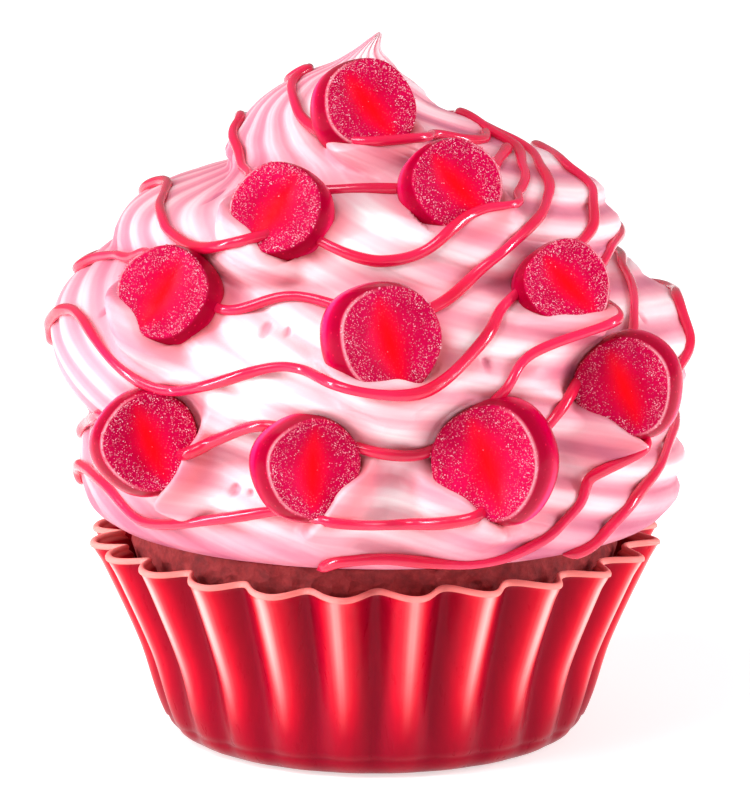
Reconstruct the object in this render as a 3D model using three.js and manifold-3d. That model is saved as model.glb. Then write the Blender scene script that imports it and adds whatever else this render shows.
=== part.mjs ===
// A frosted cupcake: a fluted case, a dark cake, a piped mound of frosting with a thick drizzle run round it, and
// sugared jelly sweets pressed into the frosting. Millimetres, +Z up. The origin is the middle of the case's flat
// foot. Azimuths are in degrees round the axis from the front (-Y): 90 is the right side (+X) and 180 the back.
import * as THREE from "three";
import { mergeVertices } from "three/addons/utils/BufferGeometryUtils.js";
import Module from "manifold-3d";

const wasm = await Module();
wasm.setup();

// Case: the outline of its flutes' crests as [radius, height]
const CASE_OUTLINE = [
  [23.2, 0],
  [25.3, 1.4],
  [29.4, 12.4],
  [35.4, 25.4],
];
const CASE_HEIGHT = CASE_OUTLINE.at(-1)[1];
const CASE_WALL = 1.0;
const CASE_FLOOR = 1.0;
const CASE_FLOOR_RADIUS = 23.2;
const FLUTES = 24;
const FLUTE_STEPS = 5; // facets to a flute
const RIM_FLUTE = 1.7; // half of a flute's depth
const FOOT_FLUTE = 0.2;
const LIP_HEIGHT = 1.1;
const LIP_FLARE = 0.2; // how far the lip stands out from the wall, each way

// Cake
const CAKE_GAP = 0.3;
const CAKE_TOP = 27.5;
const CAKE_CROWN_RADIUS = 29.6;
const CAKE_SIDES = 40;

// Frosting: its outline as [radius, height], the heights where one turn of piping meets the next, and the way its
// middle strays from the axis as [height, shift to the right]
const MOUND = [
  [31.0, 27.8],
  [34.2, 28.2],
  [36.1, 29.8],
  [37.0, 32.8],
  [37.4, 36.8],
  [37.9, 41.5],
  [38.9, 46.0],
  [39.2, 50.0],
  [38.4, 54.0],
  [36.0, 58.0],
  [33.2, 61.5],
  [30.6, 65.0],
  [28.0, 68.2],
  [23.6, 71.0],
  [19.4, 73.2],
  [16.2, 75.2],
  [11.4, 78.0],
  [8.8, 80.0],
  [6.4, 81.6],
  [3.3, 83.4],
  [1.5, 84.9],
  [0.8, 86.0],
  [0.35, 86.7],
];
const MOUND_DRIFT = [
  [28, 0.9],
  [36, 0.9],
  [50, -0.4],
  [71, -0.8],
  [73, -0.6],
  [75.6, -1.7],
  [78.6, -3.3],
  [81.5, -2.7],
  [83, -1.6],
  [84.5, -1.0],
  [86.7, 0.5],
];
const TURN_SEAMS = [27.5, 40.6, 60.8, 73.0, 90.0];
// Where one turn stands out from the turn above it: the azimuth of the ledge, how far it spreads either way, and how
// deep it goes in as [height, depth]
const LEDGES = [
  {
    azimuth: -108,
    spread: 70,
    depths: [[62.5, 0], [65.5, 1.0], [67.8, 3.0], [69.2, 5.0], [70.2, 5.6], [71.2, 4.0], [72.6, 1.2], [74.2, 0]],
  },
  {
    azimuth: 92,
    spread: 56,
    depths: [[52.5, 0], [55.5, 1.8], [57.8, 2.6], [59.0, 4.9], [60.6, 2.0], [62.2, 0.4], [64.0, 0]],
  },
];
const CLIMB_FROM = 105; // azimuths between which the piping climbs to its next turn
const CLIMB_TO = 255;
const TOP_TURN_LEAN = 1.6; // how much higher the top turn's foot is on the right than at the front
const TOP_TURN_FROM = 62; // heights over which that lean comes in
const TOP_TURN_TO = 70;
const MOUND_ROWS = 21;
const LEDGE_CORE = 0.4; // share of a ledge's spread that is at its full depth
const SEAM_DEPTH = 2.2;
const SEAM_FLANK = 0.6; // below 1 a seam or groove is sharp at its bottom
const SEAM_FADES = [30, 36, 76, 86]; // heights between which the seams come in, and between which they go
const RIDGES = 14; // ridges left by the nozzle's star
const RIDGE_STEPS = 2;
const RIDGE_DEPTH = 0.9;
const RIDGE_FLANK = 0.8;
const RIDGE_FADES = [27, 32, 74, 86];
const RIDGE_TOP_SHARE = 0.35; // share of their depth that the ridges keep at the top
const RIDGE_RISE = 4.6; // height between ridges, straight up
const RIDGE_GATHER = 0.62; // how much closer the ridges stand on the left
const RIDGE_GATHER_AZIMUTH = -75;
// Slow waves that make the ridges wander: waves to a turn, radians to a millimetre of height, phase and size
const RIDGE_WAVES = [
  { turns: 2, climb: 0.11, phase: 1.3, size: 0.12 },
  { turns: 3, climb: -0.17, phase: 4.1, size: 0.09 },
];
const TIP_HEIGHT = 0.2;

// Drizzle: two beads that wind upwards side by side. Each row is the stretch of a bead that crosses the front from
// left to right, as [azimuth, height]; between one row and the next the bead goes round the back in waves.
const BEAD_WIDTH = 1.25;
const BEAD_TOP_WIDTH = 0.7;
const BEAD_LIFT = 0.1;
const BEAD_SAG = 0.6; // share of the mound's relief that a bead follows
const BEAD_STEP = 7;
const BEAD_TILT = 0.6; // how far upwards a bead's back faces, against outwards
const BEADS = [
  [
    [[38, 28.3], [43, 29], [54, 34], [70, 38], [84, 39.5]],
    [[-92, 31], [-86, 33.5], [-76, 35], [-62, 34.5], [-50, 31.5], [-30, 34], [-14, 36], [3, 34.5],
      [16, 36.3], [25, 40], [33, 46], [44, 50.5], [54, 53.5], [64, 56.5], [78, 58], [90, 58.5]],
    [[-95, 48], [-86, 51.5], [-76, 54.5], [-67, 55], [-57, 53.5], [-41, 49], [-31, 50], [-18, 53],
      [-10, 53], [4, 51], [12, 52], [23, 57], [29, 59.5], [42, 62], [58, 64.5], [70, 67.5], [81, 69.5],
      [92, 71]],
    [[-112, 65], [-98, 68], [-79, 68], [-61, 67], [-51, 65.5], [-38, 65], [-19, 67.5], [-3, 65], [4, 64.5],
      [12, 65.3], [20, 68], [29, 69.5], [42, 70], [54, 71.2], [67, 72.5], [79, 73.3]],
    [[-98, 82.3], [-79, 81.5], [-45, 80], [-24, 77.5], [-5, 76.5], [14, 76.5], [31, 76.5], [44, 76],
      [57, 75], [74, 74.5], [92, 74.8]],
  ],
  [
    [[-13, 28], [-8, 29.5], [0, 30], [9, 29.3], [18, 28.8], [26, 29.7], [32, 31.5], [38, 34.5], [42, 38.5],
      [47, 41.5], [55, 44.3], [66, 46.5], [74, 49], [80, 52], [88, 54.5]],
    [[-95, 36.5], [-83, 39.5], [-69, 42], [-62, 43], [-40, 41], [-30, 43.5], [-20, 46], [-11, 45],
      [-3, 43.5], [8, 42.5], [17, 45.5], [22, 49], [27, 53], [33, 55], [41, 56.5], [53, 58.2], [66, 60],
      [76, 62]],
    [[-96, 57], [-86, 59.5], [-75, 61], [-64, 61], [-42, 59], [-30, 58.5], [-16, 60.5], [3, 58.5],
      [13, 59.3], [20, 61.2], [28, 64.3], [38, 66.7], [50, 68.7], [61, 70.5], [75, 72], [88, 73]],
    [[-96, 76.3], [-86, 76], [-71, 74.5], [-56, 72.5], [-45, 72], [-25, 71], [-2, 71.5], [26, 71.5],
      [57, 73], [77, 73.7]],
  ],
];
const ROUTE_SAMPLES = 700;
const BACK_POINTS = 9; // points that a bead's route has round the back
const BACK_WAVES = 2;
const BACK_WAVE_HEIGHT = 2.4;

// Sweets
const SWEET_RADIUS = 6.2;
const SWEET_HALF = 2.75; // half of its thickness
const SWEET_TAPER = 0.1; // share by which it narrows towards its foot
const SWEET_SIDES = 12;
const SWEET_BACK = 0.9; // radius of its back and its face, as shares of its radius
const SWEET_FACE = 0.89;
const SWEET_WIDEST = -0.25; // height of its widest ring, as a share of half its thickness
const CREASE_LENGTH = 0.62; // the crease, as shares of the sweet's radius and half thickness
const CREASE_WIDTH = 0.19;
const CREASE_EDGE = 0.5;
const CREASE_BOTTOM = 0.42;
const POCKET_SIDES = 10;
const POCKET_DEPTH = 6; // how far a pocket opens out beyond its sweet's face
const POCKET_GAP = 0.33;
const LAP_HEIGHT = 2.0; // cream pushed up against a sweet
const LAP_SPREAD = 4.2;
// Each sweet: azimuth and height of its middle, how proud of the mound that is, its turn away from facing straight
// out, its nod upwards, the lean of its crease, its size, and the clock angle (0 right, 90 up) where cream laps it
const SWEETS = [
  { azimuth: 9, height: 79.2, proud: 2.9, turn: 11, nod: 25, lean: -31, size: 1.03, lap: 275 },
  { azimuth: -22, height: 69.0, proud: 0.6, turn: 3, nod: 27, lean: 25, size: 1.01, lap: 225 },
  { azimuth: 24.5, height: 71.2, proud: 0.6, turn: -4, nod: 25, lean: -35, size: 1.01, lap: 285 },
  { azimuth: -41.5, height: 59.2, proud: 0.6, turn: 20, nod: 26, lean: 23, size: 1.03, lap: 222 },
  { azimuth: 2, height: 56.2, proud: 0.4, turn: 22, nod: 13, lean: -12, size: 1.15, lap: 262 },
  { azimuth: 41.5, height: 60.2, proud: 0.3, turn: -24, nod: 27, lean: -37, size: 0.95, lap: 275 },
  { azimuth: -43.4, height: 42.2, proud: 1.8, turn: 56, nod: 13, lean: -20, size: 1.05, lap: 320 },
  { azimuth: -12.8, height: 41.2, proud: 1.1, turn: 35, nod: 9, lean: 5, size: 1.05, lap: 312 },
  { azimuth: 20.5, height: 41.6, proud: 1.2, turn: -44, nod: 7, lean: -23, size: 1.22, lap: 240 },
  { azimuth: 48.2, height: 48.7, proud: 1.6, turn: -64, nod: 6, lean: -24, size: 1.06, lap: 250 },
  { azimuth: 183, height: 71.5, proud: 0.4, turn: -10, nod: 30, lean: -24, size: 1.0, lap: 280 },
  { azimuth: 147, height: 59.5, proud: 0.4, turn: 14, nod: 25, lean: 28, size: 1.04, lap: 250 },
  { azimuth: 181, height: 58.0, proud: 0.4, turn: 18, nod: 22, lean: -15, size: 1.1, lap: 300 },
  { azimuth: 215, height: 57.5, proud: 0.4, turn: -14, nod: 20, lean: 24, size: 0.98, lap: 245 },
  { azimuth: 137, height: 44.0, proud: 0.3, turn: -12, nod: 12, lean: -18, size: 1.04, lap: 250 },
  { azimuth: 163, height: 40.8, proud: 0.4, turn: 16, nod: 14, lean: 20, size: 1.12, lap: 290 },
  { azimuth: 196, height: 42.8, proud: 0.4, turn: -16, nod: 16, lean: -28, size: 1.02, lap: 240 },
  { azimuth: 228, height: 41.2, proud: 0.3, turn: 16, nod: 14, lean: 12, size: 1.06, lap: 265 },
];

// Colours, roughnesses and metalnesses as they look on the real thing
const FINISHES = {
  case: { color: 0xc8102e, roughness: 0.3, metalness: 0.1 },
  cake: { color: 0x6b1d1d, roughness: 0.85, metalness: 0 },
  frosting: { color: 0xfbeff3, roughness: 0.5, metalness: 0 },
  sweet: { color: 0xc40a34, roughness: 0.25, metalness: 0 },
};

const TURN = 2 * Math.PI;
const radians = THREE.MathUtils.degToRad;
const smooth = (x, from, to) => THREE.MathUtils.smoothstep(x, from, to);

// A closed geometry through rings of equally many points, listed counter-clockwise as seen from the last ring's end.
// The first and last rings are closed by fans to a point.
function ringSolid(rings, firstPoint, lastPoint) {
  const count = rings[0].length;
  const points = [firstPoint, ...rings.flat(), lastPoint];
  const last = points.length - 1;
  const at = (ring, i) => 1 + ring * count + (i % count);
  const faces = [];
  for (let i = 0; i < count; i++) {
    faces.push(0, at(0, i + 1), at(0, i));
    for (let ring = 0; ring < rings.length - 1; ring++) {
      faces.push(at(ring, i), at(ring, i + 1), at(ring + 1, i + 1));
      faces.push(at(ring, i), at(ring + 1, i + 1), at(ring + 1, i));
    }
    faces.push(at(rings.length - 1, i), at(rings.length - 1, i + 1), last);
  }
  const geometry = new THREE.BufferGeometry().setFromPoints(points);
  geometry.setIndex(faces);
  return geometry;
}

// A monotone smooth curve through pairs, as a function of its first value (Fritsch and Carlson's slopes)
function curveThrough(pairs) {
  const slopes = pairs.slice(1).map(([x, y], i) => (y - pairs[i][1]) / (x - pairs[i][0]));
  const tangents = pairs.map((_, i) => {
    const before = slopes[Math.max(i - 1, 0)];
    const after = slopes[Math.min(i, slopes.length - 1)];
    return before * after <= 0 ? 0 : (2 * before * after) / (before + after);
  });
  return (x) => {
    const clamped = THREE.MathUtils.clamp(x, pairs[0][0], pairs.at(-1)[0]);
    const i = Math.max(0, pairs.findIndex(([end]) => end >= clamped) - 1);
    const [x0, y0] = pairs[i];
    const [x1, y1] = pairs[i + 1];
    const h = x1 - x0;
    const t = (clamped - x0) / h;
    const rise = t * t * (3 - 2 * t);
    return y0 + (y1 - y0) * rise + h * t * (1 - t) * (tangents[i] * (1 - t) - tangents[i + 1] * t);
  };
}

const moundRadius = curveThrough(MOUND.map(([radius, height]) => [height, radius]));
const moundDrift = curveThrough(MOUND_DRIFT);
const ledges = LEDGES.map(({ azimuth, spread, depths }) => ({
  azimuth: radians(azimuth),
  spread: radians(spread),
  depthAt: curveThrough(depths),
}));
const turnAt = curveThrough(TURN_SEAMS.map((height, turn) => [height, turn]));

const onMound = (azimuth, height, radius) =>
  new THREE.Vector3(
    moundDrift(height) + radius * Math.sin(azimuth),
    -radius * Math.cos(azimuth),
    height,
  );

// How far a point is up the piping, in turns. The piping runs level round the front and climbs over the back.
function pipingTurn(azimuth, height) {
  const fromFront = ((azimuth % TURN) + TURN) % TURN;
  const climb = smooth(fromFront, radians(CLIMB_FROM), radians(CLIMB_TO));
  const lean = TOP_TURN_LEAN * Math.sin(azimuth) * smooth(height, TOP_TURN_FROM, TOP_TURN_TO);
  return turnAt(height - lean) + climb;
}

// Which ridge a point is on: whole numbers are the grooves between ridges, which fall from left to right and fall
// faster on the left.
function ridgeAt(azimuth, height) {
  const share = (azimuth + RIDGE_GATHER * Math.sin(azimuth - radians(RIDGE_GATHER_AZIMUTH))) / TURN;
  let ridge = RIDGES * share + height / RIDGE_RISE;
  for (const { turns, climb, phase, size } of RIDGE_WAVES) {
    ridge += size * Math.sin(turns * azimuth + climb * height + phase);
  }
  return ridge;
}

// How far in the ledges make a point lie
function ledgeIn(azimuth, height) {
  const depths = ledges.map((ledge) => {
    const off = Math.acos(Math.cos(azimuth - ledge.azimuth)) / ledge.spread;
    return ledge.depthAt(height) * (1 - smooth(off, LEDGE_CORE, 1));
  });
  return Math.max(...depths);
}

// How near a count is to a whole number, from 0 to 1 at the number itself
const nearWhole = (count, flank) => 1 - Math.abs(Math.sin(Math.PI * count)) ** flank;

// 1 between two heights, and falling to 0 below the lower and to the top share above the upper
function fade(height, [lowest, low, high, highest], topShare = 0) {
  return smooth(height, lowest, low) * (1 - (1 - topShare) * smooth(height, high, highest));
}

function moundRelief(azimuth, height) {
  const seam = nearWhole(pipingTurn(azimuth, height), SEAM_FLANK) * fade(height, SEAM_FADES);
  const groove = nearWhole(ridgeAt(azimuth, height), RIDGE_FLANK) * fade(height, RIDGE_FADES, RIDGE_TOP_SHARE);
  return -ledgeIn(azimuth, height) - SEAM_DEPTH * seam - RIDGE_DEPTH * groove;
}

// A sweet's place: x to its right, y up along its crease and z out of its face
function sweetPlace({ azimuth, height, proud, turn, nod, lean }) {
  const out = radians(azimuth + turn);
  const up = radians(nod);
  const z = new THREE.Vector3(Math.sin(out) * Math.cos(up), -Math.cos(out) * Math.cos(up), Math.sin(up));
  const right = new THREE.Vector3(Math.cos(out), Math.sin(out), 0);
  const y = new THREE.Vector3().crossVectors(z, right).applyAxisAngle(z, -radians(lean));
  const x = new THREE.Vector3().crossVectors(y, z);
  const middle = onMound(radians(azimuth), height, moundRadius(height) + proud);
  return new THREE.Matrix4().makeBasis(x, y, z).setPosition(middle);
}

// Where cream is pushed up against each sweet
const laps = SWEETS.map((sweet) => {
  const level = radians(sweet.lap + sweet.lean);
  const reach = SWEET_RADIUS * sweet.size;
  return new THREE.Vector3(Math.cos(level), Math.sin(level), 0).multiplyScalar(reach).applyMatrix4(sweetPlace(sweet));
});

function mound(azimuth, height, reliefShare = 1) {
  const bare = moundRadius(height) + reliefShare * moundRelief(azimuth, height);
  const point = onMound(azimuth, height, bare);
  const pushed = laps.map((lap) => LAP_HEIGHT * Math.exp(-lap.distanceToSquared(point) / LAP_SPREAD ** 2));
  return Math.max(bare + Math.max(...pushed), 0.1);
}

const moundPoint = (azimuth, height, lift = 0, reliefShare = 1) =>
  onMound(azimuth, height, mound(azimuth, height, reliefShare) + lift);

// The azimuth where a ridge line passes a height, by halving the range that holds it
function ridgeAzimuth(ridge, height) {
  const middle = ((ridge - height / RIDGE_RISE) * TURN) / RIDGES;
  let [low, high] = [middle - 2, middle + 2];
  for (let i = 0; i < 40; i++) {
    const half = (low + high) / 2;
    if (ridgeAt(half, height) < ridge) low = half;
    else high = half;
  }
  return low;
}

// The bare mound, with its columns of facets along the ridges
function moundGeometry() {
  const columns = RIDGES * RIDGE_STEPS;
  const [bottom, underside] = [MOUND[0][1], MOUND[1][1]];
  const top = MOUND.at(-1)[1];
  const heights = [bottom, underside];
  for (let row = 1; row <= MOUND_ROWS; row++) heights.push(underside + ((top - underside) * row) / MOUND_ROWS);
  const rings = heights.map((height) =>
    Array.from({ length: columns }, (_, i) => moundPoint(ridgeAzimuth(i / RIDGE_STEPS, height), height)),
  );
  const tip = onMound(0, top + TIP_HEIGHT, 0);
  return ringSolid(rings, new THREE.Vector3(0, 0, bottom), tip);
}

// A bead's route up the mound: its rows across the front, and waves round the back from each row to the next
function beadRoute(rows) {
  const turns = rows.map((row, turn) =>
    row.map(([azimuth, height]) => new THREE.Vector2(azimuth + 360 * turn, height)),
  );
  return turns.flatMap((points, turn) => {
    const next = turns[turn + 1]?.[0];
    const back = Array.from({ length: next ? BACK_POINTS : 0 }, (_, i) => {
      const share = (i + 1) / (BACK_POINTS + 1);
      const wave = BACK_WAVE_HEIGHT * Math.sin(Math.PI * share) * Math.sin(TURN * BACK_WAVES * share);
      return points.at(-1).clone().lerp(next, share).add(new THREE.Vector2(0, wave));
    });
    return [...points, ...back];
  });
}

// One bead lying on the mound: its section is wide and sunk at the foot and flat on top
function beadGeometry(rows) {
  const route = new THREE.SplineCurve(beadRoute(rows));
  const line = new THREE.CatmullRomCurve3(
    route.getPoints(ROUTE_SAMPLES).map(({ x, y }) => moundPoint(radians(x), y, BEAD_LIFT, BEAD_SAG)),
  );
  const steps = Math.round(line.getLength() / BEAD_STEP);
  const rings = line.getSpacedPoints(steps).map((point, i) => {
    const along = line.getTangentAt(i / steps);
    const upAndOut = new THREE.Vector3(point.x, point.y, BEAD_TILT * Math.hypot(point.x, point.y)).normalize();
    const side = new THREE.Vector3().crossVectors(upAndOut, along).normalize();
    const up = new THREE.Vector3().crossVectors(along, side);
    const corner = (across, rise) => point.clone().addScaledVector(side, across).addScaledVector(up, rise);
    const foot = BEAD_WIDTH / 2;
    const top = BEAD_TOP_WIDTH / 2;
    return [corner(foot, -foot), corner(top, foot), corner(-top, foot), corner(-foot, -foot)];
  });
  return ringSolid(rings, line.getPointAt(0), line.getPointAt(1));
}

// A sweet's rounded outline, plump at the top and narrower at its foot, with its face towards +Z
function sweetOutline(sides, radius, height) {
  return Array.from({ length: sides }, (_, i) => {
    const angle = (TURN * (i + 0.5)) / sides;
    const width = 1 + SWEET_TAPER * Math.sin(angle);
    return new THREE.Vector3(radius * width * Math.cos(angle), radius * Math.sin(angle), height);
  });
}

function sweetGeometry(size) {
  const radius = SWEET_RADIUS * size;
  const half = SWEET_HALF * size;
  const ring = (share, height) => sweetOutline(SWEET_SIDES, radius * share, half * height);
  const narrow = CREASE_WIDTH / CREASE_LENGTH;
  const crease = ring(CREASE_LENGTH, CREASE_EDGE).map((point) => point.setX(point.x * narrow));
  return ringSolid(
    [ring(SWEET_BACK, -1), ring(1, SWEET_WIDEST), ring(SWEET_FACE, 1), crease],
    new THREE.Vector3(0, 0, -half),
    new THREE.Vector3(0, 0, half * CREASE_BOTTOM),
  );
}

// The room that a sweet takes in the frosting, a little larger than the sweet
function pocketGeometry(size) {
  const clear = POCKET_GAP + SWEET_RADIUS * size * (1 / Math.cos(Math.PI / POCKET_SIDES) - 1);
  const radius = SWEET_RADIUS * size + clear;
  const half = SWEET_HALF * size + POCKET_GAP;
  const ring = (share, height) => sweetOutline(POCKET_SIDES, radius * share, half * height);
  return ringSolid(
    [ring(SWEET_BACK, -1), ring(1, SWEET_WIDEST), ring(1, POCKET_DEPTH / half)],
    new THREE.Vector3(0, 0, -half),
    new THREE.Vector3(0, 0, POCKET_DEPTH),
  );
}

function solidOf(geometry, matrix = new THREE.Matrix4()) {
  const bare = new THREE.BufferGeometry();
  bare.setAttribute("position", geometry.getAttribute("position").clone());
  bare.setIndex(geometry.getIndex());
  const merged = mergeVertices(bare.applyMatrix4(matrix), 1e-4);
  return new wasm.Manifold(
    new wasm.Mesh({
      numProp: 3,
      vertProperties: merged.getAttribute("position").array,
      triVerts: new Uint32Array(merged.getIndex().array),
    }),
  );
}

function geometryOf(solid) {
  const { vertProperties, triVerts } = solid.getMesh();
  const geometry = new THREE.BufferGeometry();
  geometry.setAttribute("position", new THREE.BufferAttribute(vertProperties, 3));
  geometry.setIndex(new THREE.BufferAttribute(triVerts, 1));
  return geometry;
}

// The mound and its drizzle as one solid, with a pocket for each sweet; scraps that the pockets cut off are dropped
function frostingGeometry() {
  let frosting = solidOf(moundGeometry());
  for (const rows of BEADS) frosting = frosting.add(solidOf(beadGeometry(rows)));
  for (const sweet of SWEETS) frosting = frosting.subtract(solidOf(pocketGeometry(sweet.size), sweetPlace(sweet)));
  const bodies = frosting.decompose().sort((a, b) => b.volume() - a.volume());
  return geometryOf(bodies[0]);
}

const caseCrest = curveThrough(CASE_OUTLINE.map(([radius, height]) => [height, radius]));
const fluteDepth = (height) => THREE.MathUtils.lerp(FOOT_FLUTE, RIM_FLUTE, height / CASE_HEIGHT);

// The case as one ring of fluted sections after another: up the outside, over the lip and down the inside
function caseGeometry() {
  const steps = FLUTES * FLUTE_STEPS;
  const ring = (height, crest) => {
    const depth = fluteDepth(height);
    return Array.from({ length: steps }, (_, i) => {
      const azimuth = (TURN * i) / steps;
      const radius = crest - depth * (1 + Math.cos(FLUTES * azimuth));
      return new THREE.Vector3(radius * Math.sin(azimuth), -radius * Math.cos(azimuth), height);
    });
  };
  const outside = CASE_OUTLINE.slice(0, -1).map(([radius, height]) => ring(height, radius));
  const lipFoot = CASE_HEIGHT - LIP_HEIGHT;
  const lip = [
    ring(lipFoot, caseCrest(lipFoot)),
    ring(CASE_HEIGHT - LIP_HEIGHT / 3, caseCrest(CASE_HEIGHT) + LIP_FLARE),
    ring(CASE_HEIGHT, caseCrest(CASE_HEIGHT) - CASE_WALL / 2),
    ring(lipFoot, caseCrest(lipFoot) - CASE_WALL - LIP_FLARE),
  ];
  const inside = ring(CASE_FLOOR, CASE_FLOOR_RADIUS);
  return ringSolid(
    [...outside, ...lip, inside],
    new THREE.Vector3(0, 0, 0),
    new THREE.Vector3(0, 0, CASE_FLOOR),
  );
}

// The cake: a round plug inside the flutes, with a domed shoulder that stands above the rim
function cakeGeometry() {
  const lipFoot = CASE_HEIGHT - LIP_HEIGHT;
  const bottom = CASE_FLOOR + CAKE_GAP;
  const rimRoom = caseCrest(lipFoot) - CASE_WALL - LIP_FLARE - 2 * fluteDepth(lipFoot) - CAKE_GAP;
  const floorRoom = CASE_FLOOR_RADIUS - 2 * fluteDepth(CASE_FLOOR) - CAKE_GAP;
  const profile = [
    new THREE.Vector2(0, bottom),
    new THREE.Vector2(floorRoom, bottom),
    new THREE.Vector2(rimRoom, lipFoot),
    new THREE.Vector2(rimRoom, CASE_HEIGHT),
    new THREE.Vector2(CAKE_CROWN_RADIUS, CAKE_TOP - 0.5),
    new THREE.Vector2(CAKE_CROWN_RADIUS - 1.4, CAKE_TOP),
    new THREE.Vector2(0, CAKE_TOP),
  ];
  return new THREE.LatheGeometry(profile, CAKE_SIDES).rotateX(Math.PI / 2);
}

function part(name, geometry, finish) {
  const mesh = new THREE.Mesh(geometry, new THREE.MeshStandardMaterial(FINISHES[finish]));
  mesh.name = name;
  mesh.geometry.computeVertexNormals();
  return mesh;
}

const cupcake = new THREE.Group();
cupcake.add(part("case", caseGeometry(), "case"));
cupcake.add(part("cake", cakeGeometry(), "cake"));
cupcake.add(part("frosting", frostingGeometry(), "frosting"));
SWEETS.forEach((sweet, i) => {
  const mesh = part(`sweet_${i + 1}`, sweetGeometry(sweet.size), "sweet");
  mesh.applyMatrix4(sweetPlace(sweet));
  cupcake.add(mesh);
});

export default cupcake;
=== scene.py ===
import math

import bpy
import numpy as np
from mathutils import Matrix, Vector


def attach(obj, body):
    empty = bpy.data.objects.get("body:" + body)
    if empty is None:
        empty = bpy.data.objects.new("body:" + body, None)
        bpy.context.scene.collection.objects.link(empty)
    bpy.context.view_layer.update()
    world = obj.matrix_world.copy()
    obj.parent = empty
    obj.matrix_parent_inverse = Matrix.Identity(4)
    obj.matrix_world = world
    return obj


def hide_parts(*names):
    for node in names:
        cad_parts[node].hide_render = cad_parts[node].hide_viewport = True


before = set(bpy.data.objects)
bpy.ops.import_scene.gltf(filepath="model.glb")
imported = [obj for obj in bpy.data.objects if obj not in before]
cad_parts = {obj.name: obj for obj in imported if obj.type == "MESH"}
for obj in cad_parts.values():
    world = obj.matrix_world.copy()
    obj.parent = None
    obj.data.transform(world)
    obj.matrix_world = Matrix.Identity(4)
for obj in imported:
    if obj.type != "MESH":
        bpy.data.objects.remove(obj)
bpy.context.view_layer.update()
rng = np.random.default_rng(7)

# Lengths are in millimetres and angles in degrees; an azimuth is 0 at the front and 90 at the right
MM = 0.001

# Frosting: its outline as (radius, height)
MOUND = [
    (31.0, 27.8), (34.2, 28.2), (36.1, 29.8), (37.0, 32.8), (37.4, 36.8), (37.9, 41.5), (38.9, 46.0),
    (39.2, 50.0), (38.4, 54.0), (36.0, 58.0), (33.2, 61.5), (30.6, 65.0), (28.0, 68.2), (23.6, 71.0),
    (19.4, 73.2), (16.2, 75.2), (11.4, 78.0), (8.8, 80.0), (6.4, 81.6), (3.3, 83.4), (1.5, 84.9),
    (0.8, 86.0), (0.35, 86.7),
]
# How far the mound's middle strays to the right, as (height, shift)
MOUND_DRIFT = [
    (28, 0.9), (36, 0.9), (50, -0.4), (71, -0.8), (73, -0.6), (75.6, -1.7), (78.6, -3.3), (81.5, -2.7),
    (83, -1.6), (84.5, -1.0), (86.7, 0.5),
]
MOUND_COLUMNS = 700
MOUND_ROWS = 400

# Turns of piping: the heights where one meets the next, and the azimuths between which they climb
TURN_SEAMS = [27.5, 40.6, 60.8, 73.0, 90.0]
CLIMB_FROM = 105
CLIMB_TO = 255
TOP_TURN_LEAN = 1.6
TOP_TURN_HEIGHTS = (62, 70)
SEAM_DEPTH = 2.2
SEAM_FLANK = 0.6
SEAM_ROUNDING = 0.16
SEAMS_BEGIN = (30, 36)
SEAMS_FADE = (76, 86)
# Where a turn stands out from the one above it: azimuth, spread, and depth by height
LEDGES = [
    (-108, 70, [(62.5, 0), (65.5, 1.0), (67.8, 3.0), (69.2, 5.0), (70.2, 5.6), (71.2, 4.0), (72.6, 1.2),
                (74.2, 0)]),
    (92, 56, [(52.5, 0), (55.5, 1.8), (57.8, 2.6), (59.0, 4.9), (60.6, 2.0), (62.2, 0.4), (64.0, 0)]),
]
LEDGE_EDGE = (0.4, 1)  # shares of the spread between which a ledge dies away

# Ridges that the nozzle leaves: they gather towards one azimuth, and fade at the peak and on the left
RIDGES = 14
RIDGE_DEPTH = 0.9
RIDGE_RISE = 4.6
RIDGE_FLANK = 0.8
RIDGE_ROUNDING = 0.3
RIDGE_GATHER = 0.62
RIDGE_GATHER_AZIMUTH = -75
RIDGE_WAVES = [(2, 0.11, 1.3, 0.12), (3, -0.17, 4.1, 0.09)]  # waves to a turn, climb, phase and size
RIDGES_BEGIN = (27, 32)
RIDGES_FADE = (74, 86)
FADE_AT_PEAK = 0.65
FADE_ON_LEFT = 0.5
STREAK_DEPTH = 0.05
STREAKS_BEGIN = (28, 31)
STREAKS_FADE = (80, 86)

# Bubbles in the cream: azimuth, height and radius
BUBBLES = [
    (-60.5, 56.2, 0.85), (-50, 69.4, 0.7), (-45, 70.1, 0.5), (-20, 56.8, 0.8), (-15.8, 56.7, 0.5),
    (-28.5, 37.3, 0.7), (-25.4, 37.1, 0.45), (21, 53.1, 0.75), (65, 54.8, 0.8), (118, 62.0, 0.7),
    (112, 38.0, 0.6), (170, 66.5, 0.5), (205, 50.0, 0.8), (210, 51.2, 0.45), (150, 51.5, 0.7),
    (245, 56.5, 0.75), (252, 39.0, 0.6), (178, 49.0, 0.55),
]
BUBBLE_DEPTH = 0.42
BUBBLE_SQUEEZE = 0.8
BUBBLE_EDGE = (0.45, 1.1)  # shares of the radius

# How much each cause adds to the cream's colour, from 0 for white to 1 for the deepest pink; the amount
# everywhere is the cream's own faint tint, and all the other causes are painted shade
PINK_AND_SHADE = {
    "everywhere": 0.03, "right": 0.13, "left": 0.25, "upper left": 0.02, "top": 0.06, "near case": 0.72,
    "seam": 0.28, "fold": 0.16, "right fold": 0.3, "patchy right fold": 0.2, "left fold": 0.2,
    "shade": 0.4, "hollow": 0.4, "streak": 0.05, "bubble": 0.3,
}
SEAM_SHADE_WIDTH = 0.15  # as a share of a turn
# Heights over which the painted shade near the case fades out, and over which the painted shade at the top
# grows in
NEAR_CASE = (26.5, 37)
NEAR_TOP = (60, 74)
HOLLOW_SHADE_DEPTH = 5
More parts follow.
